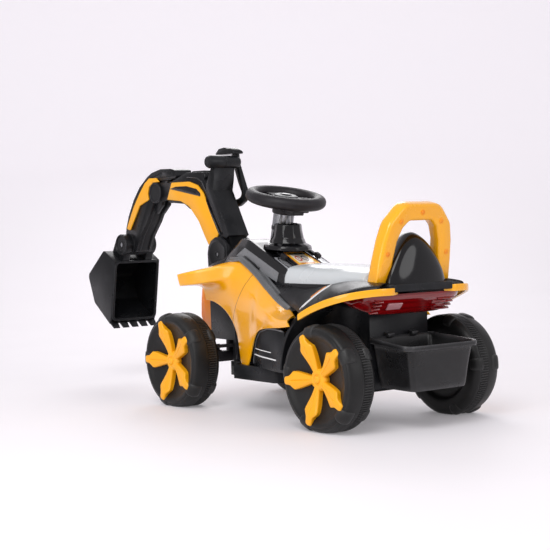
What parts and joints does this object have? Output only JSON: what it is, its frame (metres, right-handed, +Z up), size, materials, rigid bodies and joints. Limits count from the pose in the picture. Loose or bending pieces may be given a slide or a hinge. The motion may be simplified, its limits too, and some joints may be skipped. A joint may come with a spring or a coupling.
{
  "type": "ride-on toy digger",
  "caption": "Child's ride-on digger with steered front wheels, saddle, rear hoop and basket, and a hand-worked front arm with a bucket.",
  "frame": {"origin": "bottom centre of the bounding box, on the ground between the wheels", "axes": "+X forward towards the bucket, +Y to the rider's left, +Z up"},
  "size_m": [1.2891, 0.436, 0.6112],
  "materials": {
    "yellow_shell": "glossy injection-moulded yellow",
    "black_shell": "satin black moulded plastic",
    "black_matte": "fine-grained matte black plastic",
    "tyre_plastic": "blow-moulded matte black wheel",
    "seat_plastic": "glossy light grey seat moulding",
    "bonnet_plastic": "satin dark grey bonnet",
    "red_lens": "glossy translucent-looking red lens",
    "reflector": "small moulded reflector",
    "label": null,
    "steel": "zinc-plated steel",
    "battery_case": "matte battery case"
  },
  "bodies": {
    "chassis": {"chassis_tub": "black_shell", "floor_tray": "black_matte", "front_fascia": "yellow_shell", "side_fairing_left": "yellow_shell", "side_fairing_right": "yellow_shell", "hood_cover": "bonnet_plastic", "dash_plate": "label", "steering_boot": "black_shell", "seat_saddle": "seat_plastic", "rear_deck": "black_shell", "rear_fender_left": "black_shell", "rear_fender_right": "black_shell", "fender_trim_left": "yellow_shell", "fender_trim_right": "yellow_shell", "tail_lamp_bar": "red_lens", "tail_reflectors": "reflector", "backrest": "black_shell", "back_hoop": "yellow_shell", "hoop_screws": "steel", "rear_basket": "black_matte", "arm_bracket": "black_shell", "rear_axle": "steel", "gearbox_case": "black_matte", "drive_motor": "steel", "battery": "battery_case", "front_axle_beam": "black_matte", "boom_pivot_pin": "steel"},
    "steering_wheel": {"steering_rim": "black_matte", "steering_hub_cover": "black_matte", "steering_shaft": "black_matte"},
    "horn_key": {"horn_button": "black_matte"},
    "steering_rod": {"tie_rod": "steel"},
    "left_knuckle": {"knuckle_left": "steel"},
    "right_knuckle": {"knuckle_right": "steel"},
    "front_left_wheel": {"front_left_tyre": "tyre_plastic", "front_left_hub_star": "yellow_shell"},
    "front_right_wheel": {"front_right_tyre": "tyre_plastic", "front_right_hub_star": "yellow_shell"},
    "rear_left_wheel": {"rear_left_tyre": "tyre_plastic", "rear_left_hub_star": "yellow_shell"},
    "rear_right_wheel": {"rear_right_tyre": "tyre_plastic", "rear_right_hub_star": "yellow_shell"},
    "power_key": {"power_switch": "black_matte"},
    "direction_key": {"direction_switch": "black_matte"},
    "boom": {"boom_frame": "black_shell", "boom_panel_left": "yellow_shell", "boom_panel_right": "yellow_shell", "boom_fairing": "black_shell", "grip_bar": "black_matte", "stick_pivot_pin": "steel"},
    "lever": {"dig_lever": "black_matte"},
    "link": {"drag_link": "black_matte"},
    "stick": {"stick_frame": "black_shell", "stick_panel_left": "yellow_shell", "stick_panel_right": "yellow_shell", "stick_fairing": "black_shell"},
    "bucket": {"bucket_shell": "black_shell", "bucket_pin": "steel"}
  },
  "joints": [
    {"name": "steering_turn", "type": "hinge", "parent": "chassis", "child": "steering_wheel", "pos_m": [-0.1395, 0, 0.48], "axis": [-0.225, 0, 0.9744], "range_deg": [-30, 30]},
    {"name": "horn_press", "type": "slide", "parent": "steering_wheel", "child": "horn_key", "axis": [-0.225, 0, 0.9744], "range_m": [-0.003, 0], "stiffness_N_per_m": 250, "springref_m": 0.001},
    {"name": "rod_slide", "type": "slide", "parent": "chassis", "child": "steering_rod", "axis": [0, 1, 0], "range_m": [-0.022, 0.022]},
    {"name": "left_knuckle_steer", "type": "hinge", "parent": "chassis", "child": "left_knuckle", "pos_m": [0.0415, 0.114, 0.11], "axis": [0, 0, 1], "range_deg": [-21, 21]},
    {"name": "right_knuckle_steer", "type": "hinge", "parent": "chassis", "child": "right_knuckle", "pos_m": [0.0415, -0.114, 0.11], "axis": [0, 0, 1], "range_deg": [-21, 21]},
    {"name": "front_left_spin", "type": "hinge", "parent": "left_knuckle", "child": "front_left_wheel", "pos_m": [0.0415, 0.179, 0.11], "axis": [0, 1, 0], "continuous": true},
    {"name": "front_right_spin", "type": "hinge", "parent": "right_knuckle", "child": "front_right_wheel", "pos_m": [0.0415, -0.179, 0.11], "axis": [0, 1, 0], "continuous": true},
    {"name": "rear_left_spin", "type": "hinge", "parent": "chassis", "child": "rear_left_wheel", "pos_m": [-0.4885, 0.179, 0.11], "axis": [0, 1, 0], "continuous": true},
    {"name": "rear_right_spin", "type": "hinge", "parent": "chassis", "child": "rear_right_wheel", "pos_m": [-0.4885, -0.179, 0.11], "axis": [0, 1, 0], "continuous": true},
    {"name": "power_rock", "type": "hinge", "parent": "chassis", "child": "power_key", "pos_m": [-0.1905, 0.049, 0.348], "axis": [0, 1, 0], "range_deg": [-8, 8]},
    {"name": "direction_rock", "type": "hinge", "parent": "chassis", "child": "direction_key", "pos_m": [-0.1905, -0.049, 0.348], "axis": [0, 1, 0], "range_deg": [-8, 8]},
    {"name": "boom_lift", "type": "hinge", "parent": "chassis", "child": "boom", "pos_m": [0.0785, 0, 0.351], "axis": [0, -1, 0], "range_deg": [-18, 28]},
    {"name": "stick_swing", "type": "hinge", "parent": "boom", "child": "stick", "pos_m": [0.3685, 0, 0.506], "axis": [0, 1, 0], "range_deg": [0, 30]},
    {"name": "lever_squeeze", "type": "hinge", "parent": "boom", "child": "lever", "pos_m": [0.1415, 0, 0.474], "axis": [0, 1, 0], "range_deg": [0, 30]},
    {"name": "link_slide", "type": "slide", "parent": "boom", "child": "link", "axis": [0.9902, 0, 0.1396], "range_m": [-0.0005, 0.009]},
    {"name": "bucket_curl", "type": "hinge", "parent": "stick", "child": "bucket", "pos_m": [0.5115, 0, 0.372], "axis": [0, 1, 0], "range_deg": [-40, 40]}
  ],
  "couplings": [
    {"joint": "left_knuckle_steer", "follows": "steering_turn", "ratio": 0.68333},
    {"joint": "right_knuckle_steer", "follows": "steering_turn", "ratio": 0.68333},
    {"joint": "rod_slide", "follows": "steering_turn", "m_per_rad": -0.041},
    {"joint": "lever_squeeze", "follows": "stick_swing", "ratio": 1},
    {"joint": "link_slide", "follows": "stick_swing", "m_per_rad": 0.016}
  ]
}
